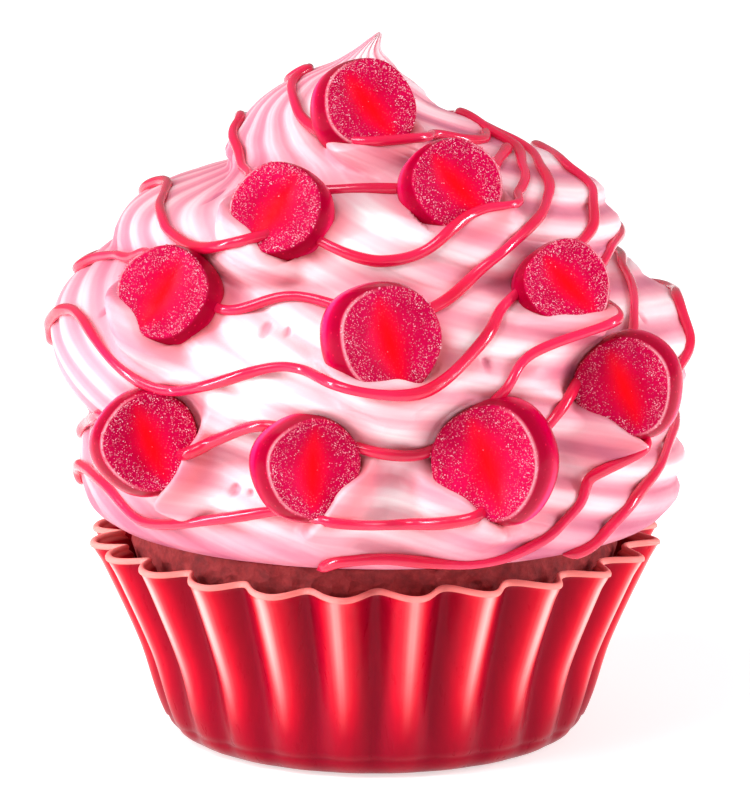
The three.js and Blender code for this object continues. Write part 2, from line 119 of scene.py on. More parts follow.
# The syrup stain and painted red glow beside each sweet, and the painted shade it casts
STAIN_AND_GLOW_WIDTH = 0.2  # as a share of a sweet's radius
SHADE_WIDTH = 0.3
SHADED_SIDE = -35
STAIN_GLOW_AND_SHADE_THICKNESS = 2.6

# Drizzle: two beads that wind upwards side by side, a row to each crossing of the front as (azimuth, height)
BEADS = [
    [
        [(38, 28.3), (43, 29), (54, 34), (70, 38), (84, 39.5)],
        [(-92, 31), (-86, 33.5), (-76, 35), (-62, 34.5), (-50, 31.5), (-30, 34), (-14, 36), (3, 34.5),
         (16, 36.3), (25, 40), (33, 46), (44, 50.5), (54, 53.5), (64, 56.5), (78, 58), (90, 58.5)],
        [(-95, 48), (-86, 51.5), (-76, 54.5), (-67, 55), (-57, 53.5), (-41, 49), (-31, 50), (-18, 53),
         (-10, 53), (4, 51), (12, 52), (23, 57), (29, 59.5), (42, 62), (58, 64.5), (70, 67.5), (81, 69.5),
         (92, 71)],
        [(-112, 65), (-98, 68), (-79, 68), (-61, 67), (-51, 65.5), (-38, 65), (-19, 67.5), (-3, 65),
         (4, 64.5), (12, 65.3), (20, 68), (29, 69.5), (42, 70), (54, 71.2), (67, 72.5), (79, 73.3)],
        [(-98, 82.3), (-79, 81.5), (-45, 80), (-24, 77.5), (-5, 76.5), (14, 76.5), (31, 76.5), (44, 76),
         (57, 75), (74, 74.5), (92, 74.8)],
    ],
    [
        [(-13, 28), (-8, 29.5), (0, 30), (9, 29.3), (18, 28.8), (26, 29.7), (32, 31.5), (38, 34.5),
         (42, 38.5), (47, 41.5), (55, 44.3), (66, 46.5), (74, 49), (80, 52), (88, 54.5)],
        [(-95, 36.5), (-83, 39.5), (-69, 42), (-62, 43), (-40, 41), (-30, 43.5), (-20, 46), (-11, 45),
         (-3, 43.5), (8, 42.5), (17, 45.5), (22, 49), (27, 53), (33, 55), (41, 56.5), (53, 58.2), (66, 60),
         (76, 62)],
        [(-96, 57), (-86, 59.5), (-75, 61), (-66, 61.5), (-57, 63), (-46, 62), (-30, 58.5), (-16, 60.5),
         (3, 58.5), (13, 59.3), (20, 61.2), (28, 64.3), (38, 66.7), (50, 68.7), (61, 70.5), (75, 72),
         (88, 73)],
        [(-96, 76.3), (-86, 76), (-71, 74.5), (-56, 72.5), (-45, 72), (-25, 71), (-2, 71.5), (26, 71.5),
         (57, 73), (77, 73.7)],
    ],
]
BACK_POINTS = 9
BACK_WAVES = 2
BACK_WAVE_HEIGHT = 2.4
BEAD_RADIUS = 0.62
BEAD_SIDES = 12
BEAD_STEP = 0.55
BEAD_WIDENING = 1.08
BEAD_TILT = 0.6
BEAD_SWELLS = [(0.08, 5.3, 0), (0.07, 2.1, 1), (0.05, 13.7, 2)]  # size, length and phase
BEAD_TIP = 0.15
BEAD_TAPER = (-0.2, 1.6)
BEAD_THINNEST = 1.15
# How a bead lies on the cream, where reaches and widths count the samples along it
BEAD_SAMPLES = 6000
SPAN_REACH = 16
SAG = 0.4
SAG_WIDTH = 20
SPAN_WIDTH = 14
CLOSE_REACH = 6
CLOSE_WIDTH = 4
LARGEST_GAP = 0.4
BEAD_LIFT = 0.3
LINE_WIDTH = 8

# Sweets: azimuth and height of the middle, how proud of the mound that is, turn away from facing straight
# out, nod upwards, lean of the crease, size, and the clock angle (0 right, 90 up) where cream laps it
SWEETS = [
    (9, 79.2, 2.9, 11, 25, -31, 1.03, 275),
    (-22, 69.0, 0.6, 3, 27, 25, 1.01, 225),
    (24.5, 71.2, 0.6, -4, 25, -35, 1.01, 285),
    (-41.5, 59.2, 0.6, 20, 26, 23, 1.03, 222),
    (2, 56.2, 0.4, 22, 13, -12, 1.15, 262),
    (41.5, 60.2, 0.3, -24, 27, -37, 0.95, 275),
    (-43.4, 42.2, 1.8, 56, 13, -20, 1.05, 320),
    (-12.8, 41.2, 1.1, 35, 9, 5, 1.05, 312),
    (20.5, 41.6, 1.2, -44, 7, -23, 1.22, 240),
    (48.2, 48.7, 1.6, -64, 6, -24, 1.06, 250),
    (183, 71.5, 0.4, -10, 30, -24, 1.0, 280),
    (147, 59.5, 0.4, 14, 25, 28, 1.04, 250),
    (181, 58.0, 0.4, 18, 22, -15, 1.1, 300),
    (215, 57.5, 0.4, -14, 20, 24, 0.98, 245),
    (137, 44.0, 0.3, -12, 12, -18, 1.04, 250),
    (163, 40.8, 0.4, 16, 14, 20, 1.12, 290),
    (196, 42.8, 0.4, -16, 16, -28, 1.02, 240),
    (228, 41.2, 0.3, 16, 14, 12, 1.06, 265),
]
SWEET_RADIUS = 6.2
SWEET_HALF = 2.75  # half its thickness
SWEET_TAPER = 0.1
SWEET_COLUMNS = 96
FACE_RINGS = 26
# A sweet's side from its back to its face, in shares of the radius and of the half thickness
SWEET_SIDE = [
    (0.5, -1.0), (0.8, -0.98), (0.9, -0.88), (0.96, -0.68), (0.99, -0.45), (1.0, -0.2), (0.995, 0.05),
    (0.98, 0.3), (0.955, 0.52), (0.93, 0.7), (0.912, 0.82), (0.9, 0.9), (0.885, 0.955), (0.865, 0.985),
]
FACE_EDGE = 0.84
FACE_MIDDLE = 0.03
FACE_LEVEL = 0.99
DISH_EDGE = (0.25, 0.88)
DISH_DEPTH = 0.2
CREASE_LENGTH = 0.8
CREASE_END_WIDTH = 0.07
CREASE_WIDENING = 0.2
CREASE_DEPTH = 0.04
CHEEK_AT = 0.5
CHEEK_WIDTH = 0.24
CHEEK_HEIGHT = 0.06
# A painted highlight along the rim of the face, on the side where the band shows
RIM_HIGHLIGHT_AT = 0.872
RIM_HIGHLIGHT_WIDTH = 0.012
RIM_HIGHLIGHT_STRENGTH = 0.8

# The cream round a sweet: its hollow, and the lap over one side
SHAPED_SPAN = 2.7  # how far round a sweet the cream is shaped, as a share of the radius
HOLLOW_REACH = 9
HOLLOW_OUTSIDE = 1.5
HOLLOW_STEPS = 56
HOLLOW_CORNER = (0.84, 0.96)  # shares of the radius between which its floor rises to its brim
HOLLOW_FLOOR = -0.5  # shares of the half thickness, at the middle and at the sweet's edge
HOLLOW_BRIM = 0.65
HOLLOW_OPENING = 34  # how much steeper than the cream round it the hollow opens out
STEEPEST_HOLLOW = 77
HOLLOW_ROUNDING = 1.4
HOLLOW_FACING = (0.12, 0.35)  # how squarely the cream faces the sweet's way where its hollow fades in
LAP_PUSH = 2.0
LAP_SPREAD = 4.2
LAP_EDGE = (0.4, 0.78)  # shares of the radius where the lap begins and where it is full
LAP_UNEVENNESS = 0.03
LAP_LIP = 0.7  # how far the lapping cream stands above the face
LAP_ROUNDING = 0.3
LAP_REACH = 1.75  # where the lapping cream meets the rest again, as a share of the radius
LAP_FACING = (0.2, 0.5)
LEAST_LAP_FACING = 0.25
LAP_SHIFTS = (-6, 8)  # how far in or out the cream may move to reach the level of the face

# Sugar
CRYSTALS_PER_SWEET = 950
CRYSTAL_TRIES = 3
CRYSTAL_SIZES = (0.055, 0.11)  # from the middle to a corner
CRYSTAL_STRETCH = (0.7, 1.25)
CRYSTAL_SIDES = [(0, 1, 2), (1, 3, 2), (3, 4, 2), (4, 0, 2), (1, 0, 5), (3, 1, 5), (4, 3, 5), (0, 4, 5)]
SUGARED_SHARE = 0.9

# Case: its outline over the crests of the flutes, as (radius, height)
CASE_OUTLINE = [(23.2, 0), (25.3, 1.4), (29.4, 12.4), (35.4, 25.4)]
CASE_HEIGHT = CASE_OUTLINE[-1][1]
CASE_WALL = 1.0
CASE_FLOOR = 1.0
CASE_FLOOR_RADIUS = 22.4
FOOT_INNER_RADIUS = 18
FOOT_RADIUS = 21.0
FOOT_ROUND_WIDTH = 4.7
FOOT_ROUND_HEIGHT = 2.9
WALL_FROM = 2.8
LIP_RADIUS = 0.47
FLUTES = 24
FLUTE_COLUMNS = 18
RIM_FLUTE = 1.7
FOOT_FLUTE = 0.2
FLUTES_BEGIN = (-1.5, 4.5)
FLUTE_CREASE = 0.12
FLUTE_UNEVENNESS = [(0.05, 3, 1), (0.04, 7, 0)]  # size, waves round the case and phase
RIM_WAVES = [(0.22, FLUTES, 0.6), (0.12, 5, 0)]
RIM_DROP = 0.35
RIM_FROM = (22, 25)

# Cake
CAKE_TOP = 27.5
CAKE_CROWN_RADIUS = 29.6
CAKE_FOOT_RADIUS = 22.3
CAKE_FOOT = 1.4
CAKE_GAP = 0.5
CAKE_EDGE = 0.6  # how far the crown's rounded edge falls
CAKE_EDGE_WIDTH = 1.4
CAKE_COLUMNS = 320
CRUMB_DEPTH = 0.16

# Colours
# Cream from its own near white to the deepest painted shade
CREAM_TINTS_AND_SHADES = [
    (0.02, (1.0, 0.93, 0.935)), (0.22, (0.91, 0.62, 0.67)), (0.45, (0.88, 0.38, 0.455)),
    (0.7, (0.75, 0.23, 0.32)), (1.0, (0.54, 0.12, 0.21)),
]
# Syrup stain on the cream, also painting a red glow beside the sweets
CREAM_STAIN_AND_GLOW = (0.98, 0.22, 0.22)
SYRUP_TINTS = [(0.1, (0.66, 0.004, 0.04)), (0.55, (0.78, 0.014, 0.09)), (1.0, (0.9, 0.2, 0.32))]
JELLY_FLESH = [(0.3, (0.46, 0.0, 0.045)), (0.7, (0.6, 0.002, 0.07))]
JELLY_SUGARED = (0.95, 0.42, 0.5)
JELLY_CREASE = (0.9, 0.003, 0.008)
# The side's red, rising to a painted magenta highlight low on the side
JELLY_SIDE_AND_HIGHLIGHT = [(0.0, (0.32, 0.0, 0.02)), (0.5, (0.58, 0.0, 0.05)), (1.0, (0.9, 0.03, 0.2))]
JELLY_SPECK = (0.85, 0.01, 0.07)
# A painted highlight along the rim of the face
JELLY_RIM_HIGHLIGHT = (1.0, 0.62, 0.66)
SUGAR_TINTS = [(0.36, (0.72, 0.03, 0.11)), (0.52, (0.85, 0.2, 0.3)), (0.7, (0.98, 0.6, 0.68))]
CAKE_TINTS = [(0.3, (0.22, 0.022, 0.026)), (0.55, (0.44, 0.045, 0.05)), (0.8, (0.6, 0.1, 0.095))]
# The paper's red, from painted shade in the grooves to bright crests
CASE_TINTS_AND_SHADES = [
    (0.0, (0.23, 0.0, 0.012)), (0.35, (0.39, 0.0, 0.015)), (0.7, (0.64, 0.002, 0.02)),
    (1.0, (0.85, 0.025, 0.045)),
]
# A painted highlight streak down each flute
CASE_HIGHLIGHT = (1.0, 0.58, 0.54)
# The paper's pale lip, with a painted highlight stronger to the left and right
CASE_LIP_AND_HIGHLIGHT = (1.0, 0.3, 0.27)

# View and light, in metres
CAMERA_DISTANCE = 0.800
CAMERA_HEIGHT = 0.2111
AIM_HEIGHT = 0.0421
LENS = 305.3
KEY_DIRECTION = (0.36, 0.5, -0.79)
KEY_POWER = 1.75
KEY_SPREAD = 28
ROOM_COLOUR = (1, 0.97, 0.98, 1)
ROOM_STRENGTH = 0.3
CASE_MIDDLE = (0, 0, 0.02)
# Strips of light that aim at the case: name, place, width, height and power
STRIPS = [
    ("left_strip", (-0.45, -0.18, 0.22), 0.06, 0.35, 2.4),
    ("right_strip", (0.48, -0.1, 0.2), 0.05, 0.3, 1.8),
]


# Numbers and lines

def smooth(x, start, end):
    """A smooth step: 0 at the start and before it, 1 at the end and after it."""
    t = np.clip((np.asarray(x, float) - start) / (end - start), 0, 1)
    return t * t * (3 - 2 * t)


def bell(x, width):
    """1 where x is 0, falling away smoothly to both sides."""
    return np.exp(-((x / width) ** 2))


def waves(x, rows):
    """The sum of sine waves over x, each given as (size, waves to a turn, phase)."""
    return sum(size * np.sin(count * x + phase) for size, count, phase in rows)


def curve_through(pairs):
    """A monotone smooth curve through (x, y) pairs, as a function of x."""
    xs, ys = np.array(pairs, float).T
    slopes = np.diff(ys) / np.diff(xs)
    before = np.concatenate([slopes[:1], slopes])
    after = np.concatenate([slopes, slopes[-1:]])
    same_way = before * after > 0
    tangents = np.where(same_way, 2 * before * after / np.where(same_way, before + after, 1), 0)

    def curve(x):
        x = np.clip(x, xs[0], xs[-1])
        i = np.clip(np.searchsorted(xs, x) - 1, 0, len(xs) - 2)
        h = xs[i + 1] - xs[i]
        t = (x - xs[i]) / h
        rise = t * t * (3 - 2 * t)
        bend = h * t * (1 - t) * (tangents[i] * (1 - t) - tangents[i + 1] * t)
        return ys[i] + (ys[i + 1] - ys[i]) * rise + bend

    return curve


def spline(points, samples):
    """A uniform Catmull-Rom curve through the points."""
    padded = np.concatenate([points[:1], points, points[-1:]])
    place = np.linspace(0, len(points) - 1, samples)
    i = np.minimum(place.astype(int), len(points) - 2)
    t = (place - i)[:, None]
    a, b, c, d = (padded[i + k] for k in range(4))
    return 0.5 * (2 * b + (c - a) * t + (2 * a - 5 * b + 4 * c - d) * t**2 + (3 * b - a - 3 * c + d) * t**3)


def blur(values, width):
    """Values softened along their first axis by a bell of that many samples."""
    reach = int(3 * width)
    weights = np.exp(-0.5 * (np.arange(-reach, reach + 1) / width) ** 2)
    weights /= weights.sum()
    padded = np.pad(values, [(reach, reach)] + [(0, 0)] * (values.ndim - 1), mode="edge")
    if values.ndim == 1:
        return np.convolve(padded, weights, mode="valid")
    return np.stack([np.convolve(column, weights, mode="valid") for column in padded.T], axis=-1)


def highest_near(values, reach):
    """The highest of the values up to that many samples to either side of each."""
    place = np.arange(len(values))
    return np.max([np.interp(place + shift, place, values) for shift in range(-reach, reach + 1, 2)], axis=0)


def walked_along(points):
    """The distance along a line from its start to each of its points."""
    return np.concatenate([[0], np.cumsum(np.linalg.norm(np.diff(points, axis=0), axis=1))])


def evenly(points, step):
    """The same line with its points a step apart."""
    walked = walked_along(points)
    places = np.linspace(0, walked[-1], int(walked[-1] / step))
    return np.stack([np.interp(places, walked, column) for column in points.T], axis=-1)


def soft_least(first, second, width):
    """The lesser of two lengths, with the change from one to the other rounded off."""
    share = np.clip(0.5 + 0.5 * (second - first) / width, 0, 1)
    return second + (first - second) * share - width * share * (1 - share)


def soft_positive(values, rounding):
    """Values above 0 as they are and those below it as 0, with the change rounded off."""
    return 0.5 * (values + np.sqrt(values**2 + rounding))


def crossing(excess, radii, missing):
    """The radius where each row of excess first rises above 0, or the missing value."""
    above = excess > 0
    index = np.argmax(above, axis=1)
    before = np.maximum(index - 1, 0)
    row = np.arange(len(index))
    low, high = excess[row, before], excess[row, index]
    part = np.where(index > 0, -low / np.where(high > low, high - low, 1), 0)
    found = radii[row, before] + (radii[row, index] - radii[row, before]) * np.clip(part, 0, 1)
    return np.where(above.any(axis=1) & (index > 0), found, missing)


def around_axis(azimuth, height, radius):
    """Points at azimuths in radians, heights and radii from the axis."""
    azimuth, height, radius = np.broadcast_arrays(azimuth, height, radius)
    return np.stack([radius * np.sin(azimuth), -radius * np.cos(azimuth), height], axis=-1)


# The shape of the mound

mound_radius = curve_through([(height, radius) for radius, height in MOUND])
mound_drift = curve_through(MOUND_DRIFT)
turn_at = curve_through([(height, turn) for turn, height in enumerate(TURN_SEAMS)])
ledges = [(math.radians(azimuth), math.radians(spread), curve_through(depth))
          for azimuth, spread, depth in LEDGES]


def on_mound(azimuth, height, radius):
    """Points at a radius from the mound's own middle, which strays from the axis."""
    points = around_axis(azimuth, height, radius)
    points[..., 0] += mound_drift(points[..., 2])
    return points


def piping_turn(azimuth, height):
    """Which turn of the piping a point is in; the whole numbers are the seams."""
    climb = smooth(np.mod(azimuth, 2 * np.pi), math.radians(CLIMB_FROM), math.radians(CLIMB_TO))
    lean = TOP_TURN_LEAN * np.sin(azimuth) * smooth(height, *TOP_TURN_HEIGHTS)
    return turn_at(height - lean) + climb


def ridge_at(azimuth, height):
    """Which ridge a point is on; the whole numbers are the grooves."""
    share = (azimuth + RIDGE_GATHER * np.sin(azimuth - math.radians(RIDGE_GATHER_AZIMUTH))) / (2 * np.pi)
    wavering = sum(size * np.sin(turns * azimuth + climb * height + phase)
                   for turns, climb, phase, size in RIDGE_WAVES)
    return RIDGES * share + height / RIDGE_RISE + wavering


def near_whole(count, flank, rounding):
    """How near a count is to a whole number: 1 at the number and 0 halfway, with a rounded bottom."""
    off = (np.sin(np.pi * count) ** 2 + rounding**2) ** (flank / 2)
    lowest, highest = rounding**flank, (1 + rounding**2) ** (flank / 2)
    return (highest - off) / (highest - lowest)


def seam_and_groove(azimuth, height):
    """How near a point is to a seam between turns and to a groove between ridges, each from 0 to 1."""
    seam = near_whole(piping_turn(azimuth, height), SEAM_FLANK, SEAM_ROUNDING)
    groove = near_whole(ridge_at(azimuth, height), RIDGE_FLANK, RIDGE_ROUNDING)
    seam_share = smooth(height, *SEAMS_BEGIN) * (1 - smooth(height, *SEAMS_FADE))
    at_peak = smooth(height, *RIDGES_FADE)
    on_left = smooth(-np.sin(azimuth), 0.2, 0.8)
    ridge_share = smooth(height, *RIDGES_BEGIN) * (1 - FADE_AT_PEAK * at_peak) * (1 - FADE_ON_LEFT * on_left)
    return seam * seam_share, groove * ridge_share


def streaks(azimuth, height):
    """Fine lines that the nozzle leaves along the ridges, from -1 to 1."""
    across = 2 * np.pi * ridge_at(azimuth, height)
    return 0.6 * np.sin(4 * across + 3 * np.sin(2 * azimuth + 1)) + 0.4 * np.sin(7 * across + 2)


def in_bubble(azimuth, height):
    """How deep in a bubble a point is, from 0 to 1."""
    deepest = np.zeros(np.broadcast(azimuth, height).shape)
    for middle, level, size in BUBBLES:
        around = np.arccos(np.cos(azimuth - math.radians(middle))) * mound_radius(level)
        away = np.hypot(around, BUBBLE_SQUEEZE * (height - level)) / size
        deepest = np.maximum(deepest, 1 - smooth(away, *BUBBLE_EDGE))
    return deepest


def mound_relief(azimuth, height):
    """How far the seams, grooves and ledges set the cream back from the mound's outline, below 0."""
    seam, groove = seam_and_groove(azimuth, height)
    relief = -SEAM_DEPTH * seam - RIDGE_DEPTH * groove
    for middle, spread, depth in ledges:
        off = np.arccos(np.cos(azimuth - middle)) / spread
        relief = relief - depth(height) * (1 - smooth(off, *LEDGE_EDGE))
    return relief


class Place:
    """Where a sweet lies: its middle, size and directions, with z out of its face and y up its crease."""

    def __init__(self, azimuth, height, proud, turn, nod, lean, size, lap):
        around, out = math.radians(azimuth), math.radians(azimuth + turn)
        up = math.radians(nod)
        self.lean = math.radians(lean)
        self.z = np.array([math.sin(out) * math.cos(up), -math.cos(out) * math.cos(up), math.sin(up)])
        right = np.array([math.cos(out), math.sin(out), 0])
        above = np.cross(self.z, right)
        self.y = above * math.cos(self.lean) + right * math.sin(self.lean)
        self.x = np.cross(self.y, self.z)
        self.middle = on_mound(around, height, mound_radius(height) + proud)
        self.radius = SWEET_RADIUS * size
        self.half = SWEET_HALF * size
        self.phase = 40 * size
        self.lap = math.radians(lap + lean)
        # The side where the band shows, which carries the painted highlight along the rim
        self.shown_side = self.lean + (math.pi if turn > 0 else 0.0)
        fall = float(mound_radius(height + 1) - mound_radius(height - 1)) / 2
        slope = np.array([math.sin(around), -math.cos(around), -fall])
        tilt = math.degrees(math.acos(slope @ self.z / np.linalg.norm(slope)))
        self.flank = math.tan(math.radians(min(tilt + HOLLOW_OPENING, STEEPEST_HOLLOW)))

    def inward(self, points):
        """Points as seen from the sweet."""
        offset = points - self.middle
        return np.stack([offset @ self.x, offset @ self.y, offset @ self.z], axis=-1)

    def outward(self, local):
        """Points of the sweet in the model."""
        return self.middle + local[..., :1] * self.x + local[..., 1:2] * self.y + local[..., 2:] * self.z

    def reach(self, local):
        """How far out a point is, as a share of the sweet's outline, and its clock angle."""
        angle = np.arctan2(local[..., 1], local[..., 0])
        across = local[..., 0] / (1 + SWEET_TAPER * np.sin(angle))
        return np.hypot(across, local[..., 1]) / self.radius, angle

    def towards_lap(self, share, angle):
        """How far a point is towards the lapped side, as a share of the radius."""
        return share * np.cos(angle - self.lap) + LAP_UNEVENNESS * np.sin(4 * angle + self.phase)

    def hollow_above(self, local):
        """How far a point is inside the hollow that holds the sweet; below 0 it is in the cream."""
        share, _ = self.reach(local)
        floor = self.half * (HOLLOW_FLOOR + (HOLLOW_BRIM - HOLLOW_FLOOR) * smooth(share, *HOLLOW_CORNER))
        wall = self.radius * self.flank * np.maximum(share - 1, 0)
        return local[..., 2] - floor - wall


places = [Place(*sweet) for sweet in SWEETS]


def mound(azimuth, height):
    """The radius of the frosting before the sweets are pressed in, with cream pushed up beside each."""
    bare = mound_radius(height) + mound_relief(azimuth, height)
    point = on_mound(azimuth, height, bare)
    pushed = np.zeros_like(bare)
    for place in places:
        lap = place.outward(np.array([math.cos(place.lap), math.sin(place.lap), 0]) * place.radius)
        pushed = np.maximum(pushed, LAP_PUSH * bell(np.linalg.norm(point - lap, axis=-1), LAP_SPREAD))
    return np.maximum(bare + pushed, 0.1)


def hollow_radius(place, azimuth, height, radius):
    """The radius of the cream in a sweet's hollow, from well inside the mound to just outside it."""
    inwards = np.maximum(radius[:, None] + np.linspace(-HOLLOW_REACH, HOLLOW_OUTSIDE, HOLLOW_STEPS), 0.1)
    above = place.hollow_above(place.inward(on_mound(azimuth[:, None], height[:, None], inwards)))
    hollow = crossing(above, inwards, radius + HOLLOW_REACH)
    return np.where(above[:, 0] > 0, radius - HOLLOW_REACH, hollow)


def press_in(place, azimuth, height, radius, depth, facing, bare):
    """The cream's radius near a sweet, hollowed round it and closed over its lap.

    The radius is the mound's, depth is how far the mound stands out past the sweet's middle, facing is how
    squarely it faces the sweet's way, and bare is its radius with the earlier sweets pressed in.
    """
    hollow = hollow_radius(place, azimuth, height, radius)
    carved = bare + (soft_least(bare, hollow, HOLLOW_ROUNDING) - bare) * smooth(facing, *HOLLOW_FACING)
    face = radius + np.clip((place.half - depth) / np.maximum(facing, LEAST_LAP_FACING), *LAP_SHIFTS)
    share, angle = place.reach(place.inward(on_mound(azimuth, height, face)))
    lapped = smooth(place.towards_lap(share, angle), *LAP_EDGE)
    fitted = carved + (bare - carved) * lapped
    lift = soft_positive(face + LAP_LIP - fitted, LAP_ROUNDING)
    apron = (1 - smooth(share, 1.0, LAP_REACH)) * smooth(facing, *LAP_FACING)
    return fitted + lift * lapped * apron


def cream(azimuth, height):
    """The radius of the frosting with all the sweets pressed in."""
    azimuth, height = np.broadcast_arrays(np.asarray(azimuth, float), height)
    radius = mound(azimuth, height)
    point = on_mound(azimuth, height, radius)
    outward = around_axis(azimuth, np.zeros_like(azimuth), 1.0)
    result = radius.copy()
    for place in places:
        depth = place.inward(point)[..., 2]
        facing = outward @ place.z
        near = np.linalg.norm(point - place.middle, axis=-1) < SHAPED_SPAN * place.radius
        near &= (facing > HOLLOW_FACING[0]) & (depth > -HOLLOW_REACH)
        if near.any():
            nearby = (values[near] for values in (azimuth, height, radius, depth, facing, result))
            result[near] = press_in(place, *nearby)
    return result


# Meshes

def add_mesh(name, points, faces, attributes=(), smooth_faces=True):
    """A mesh object from points in millimetres. Attributes are (name, a value for each point)."""
    mesh = bpy.data.meshes.new(name)
    points = np.asarray(points, float).reshape(-1, 3)
    faces = np.asarray(faces)
    mesh.vertices.add(len(points))
    mesh.vertices.foreach_set("co", (points * MM).astype(np.float32).ravel())
    mesh.loops.add(faces.size)
    mesh.loops.foreach_set("vertex_index", faces.astype(np.int32).ravel())
    mesh.polygons.add(len(faces))
    mesh.polygons.foreach_set("loop_start", np.arange(len(faces), dtype=np.int32) * faces.shape[1])
    mesh.update(calc_edges=True)
    for label, values in attributes:
        layer = mesh.attributes.new(label, "FLOAT", "POINT")
        layer.data.foreach_set("value", np.asarray(values, np.float32).ravel())
    mesh.validate()
    mesh.polygons.foreach_set("use_smooth", np.full(len(mesh.polygons), smooth_faces))
    piece = bpy.data.objects.new(name, mesh)
    bpy.context.scene.collection.objects.link(piece)
    return piece


def grid_faces(rows, columns):
    """Triangles of a closed tube of rows rings of columns points, with a point after them for each end."""
    ring, column = np.meshgrid(np.arange(rows - 1), np.arange(columns), indexing="ij")
    after = (column + 1) % columns
    a, b = ring * columns + column, ring * columns + after
    c, d = (ring + 1) * columns + after, (ring + 1) * columns + column
    sides = np.concatenate([np.stack([a, b, c], -1).reshape(-1, 3), np.stack([a, c, d], -1).reshape(-1, 3)])
    edge, next_edge = np.arange(columns), (np.arange(columns) + 1) % columns
    first, last = rows * columns, rows * columns + 1
    low = np.stack([np.full(columns, first), next_edge, edge], -1)
    top = (rows - 1) * columns
    high = np.stack([np.full(columns, last), top + edge, top + next_edge], -1)
    return np.concatenate([sides, low, high])


def tube(name, rings, first, last, attributes=()):
    """A closed mesh through rings, an array of (rows, columns, 3), ended at two points."""
    rows, columns = rings.shape[:2]
    points = np.concatenate([rings.reshape(-1, 3), [first, last]])
    ended = [
        (label, np.concatenate([np.asarray(values).ravel(), [np.mean(values[0]), np.mean(values[-1])]]))
        for label, values in attributes
    ]
    return add_mesh(name, points, grid_faces(rows, columns), ended)


# Materials

class Nodes:
    """A material's node tree, with short ways to add to it."""

    def __init__(self, name):
        self.material = bpy.data.materials.new(name)
        self.material.use_nodes = True
        self.tree = self.material.node_tree
        self.shader = self.tree.nodes["Principled BSDF"]

    def link(self, source, target):
        self.tree.links.new(source, target)

    def set(self, **values):
        for label, value in values.items():
            self.shader.inputs[label.replace("_", " ")].default_value = value

    def attribute(self, label):
        node = self.tree.nodes.new("ShaderNodeAttribute")
        node.attribute_name = label
        return node.outputs["Fac"]

    def noise(self, scale, detail, stretch=(1, 1, 1), roughness=0.5):
        """Noise in object space; scale is waves to a millimetre."""
        place = self.tree.nodes.new("ShaderNodeTexCoord")
        mapping = self.tree.nodes.new("ShaderNodeMapping")
        mapping.inputs["Scale"].default_value = stretch
        node = self.tree.nodes.new("ShaderNodeTexNoise")
        node.inputs["Scale"].default_value = scale / MM
        node.inputs["Detail"].default_value = detail
        node.inputs["Roughness"].default_value = roughness
        self.link(place.outputs["Object"], mapping.inputs["Vector"])
        self.link(mapping.outputs["Vector"], node.inputs["Vector"])
        return node.outputs["Fac"]

    def cells(self, scale):
        """Distance to scattered points in object space; scale is points to a millimetre."""
        place = self.tree.nodes.new("ShaderNodeTexCoord")
        node = self.tree.nodes.new("ShaderNodeTexVoronoi")
        node.inputs["Scale"].default_value = scale / MM
        self.link(place.outputs["Object"], node.inputs["Vector"])
        return node.outputs["Distance"]

    def maths(self, operation, first, second, clamp=False):
        """A sum on numbers or sockets."""
        node = self.tree.nodes.new("ShaderNodeMath")
        node.operation = operation
        node.use_clamp = clamp
        for socket, value in zip(node.inputs, (first, second)):
            if isinstance(value, (int, float)):
                socket.default_value = value
            else:
                self.link(value, socket)
        return node.outputs["Value"]

    def ramp(self, value, stops):
        """A colour or grey by value: stops are (place, colour)."""
        node = self.tree.nodes.new("ShaderNodeValToRGB")
        while len(node.color_ramp.elements) < len(stops):
            node.color_ramp.elements.new(0.5)
        for element, (place, colour) in zip(node.color_ramp.elements, stops):
            element.position = place
            element.color = (*colour, 1) if isinstance(colour, tuple) else (colour, colour, colour, 1)
        self.link(value, node.inputs["Fac"])
        return node.outputs["Color"]

    def mix(self, share, first, second):
        """The first colour where the share is 0, and the second where it is 1."""
        node = self.tree.nodes.new("ShaderNodeMix")
        node.data_type = "RGBA"
        sockets = (node.inputs[0], node.inputs[6], node.inputs[7])
        for socket, value in zip(sockets, (share, first, second)):
            if isinstance(value, tuple):
                socket.default_value = (*value, 1)
            else:
                self.link(value, socket)
        return node.outputs[2]

    def bump(self, height, distance):
        """Bumps of a depth in millimetres, on top of any added before."""
        node = self.tree.nodes.new("ShaderNodeBump")
        node.inputs["Distance"].default_value = distance * MM
        self.link(height, node.inputs["Height"])
        normal = self.shader.inputs["Normal"]
        if normal.links:
            self.link(normal.links[0].from_socket, node.inputs["Normal"])
        self.link(node.outputs["Normal"], normal)

    def colour(self, socket):
        self.link(socket, self.shader.inputs["Base Color"])

    def rough(self, socket):
        self.link(socket, self.shader.inputs["Roughness"])


def frosting_material():
    """Whipped cream with a faint tint of its own, painted shade in rose tones in its folds, seams and hollows
    and towards its sides and foot, and syrup stains with a painted red glow beside the sweets.
    """
    m = Nodes("frosting")
    blotch = m.maths("SUBTRACT", m.noise(0.07, 3, stretch=(1, 1, 1.8)), 0.5)
    # the cream's own faint tint and its painted shade, varied at random
    pink_and_shade = m.maths("ADD", m.attribute("pink_and_shade"), m.maths("MULTIPLY", blotch, 0.35))
    # syrup stain, also painting a red glow beside the sweets
    m.colour(m.mix(m.maths("MULTIPLY", m.attribute("stain_and_glow"), 0.6), m.ramp(pink_and_shade, CREAM_TINTS_AND_SHADES), CREAM_STAIN_AND_GLOW))
    m.rough(m.ramp(m.noise(0.35, 4), [(0.3, 0.36), (0.7, 0.5)]))
    m.set(Subsurface_Weight=0.3, Subsurface_Radius=(1.0, 0.6, 0.58), Subsurface_Scale=3.0 * MM,
          Specular_IOR_Level=0.4)
    m.bump(m.noise(0.9, 5, stretch=(1, 1, 1.6)), 0.05)
    m.bump(m.noise(3.5, 3), 0.015)
    return m.material


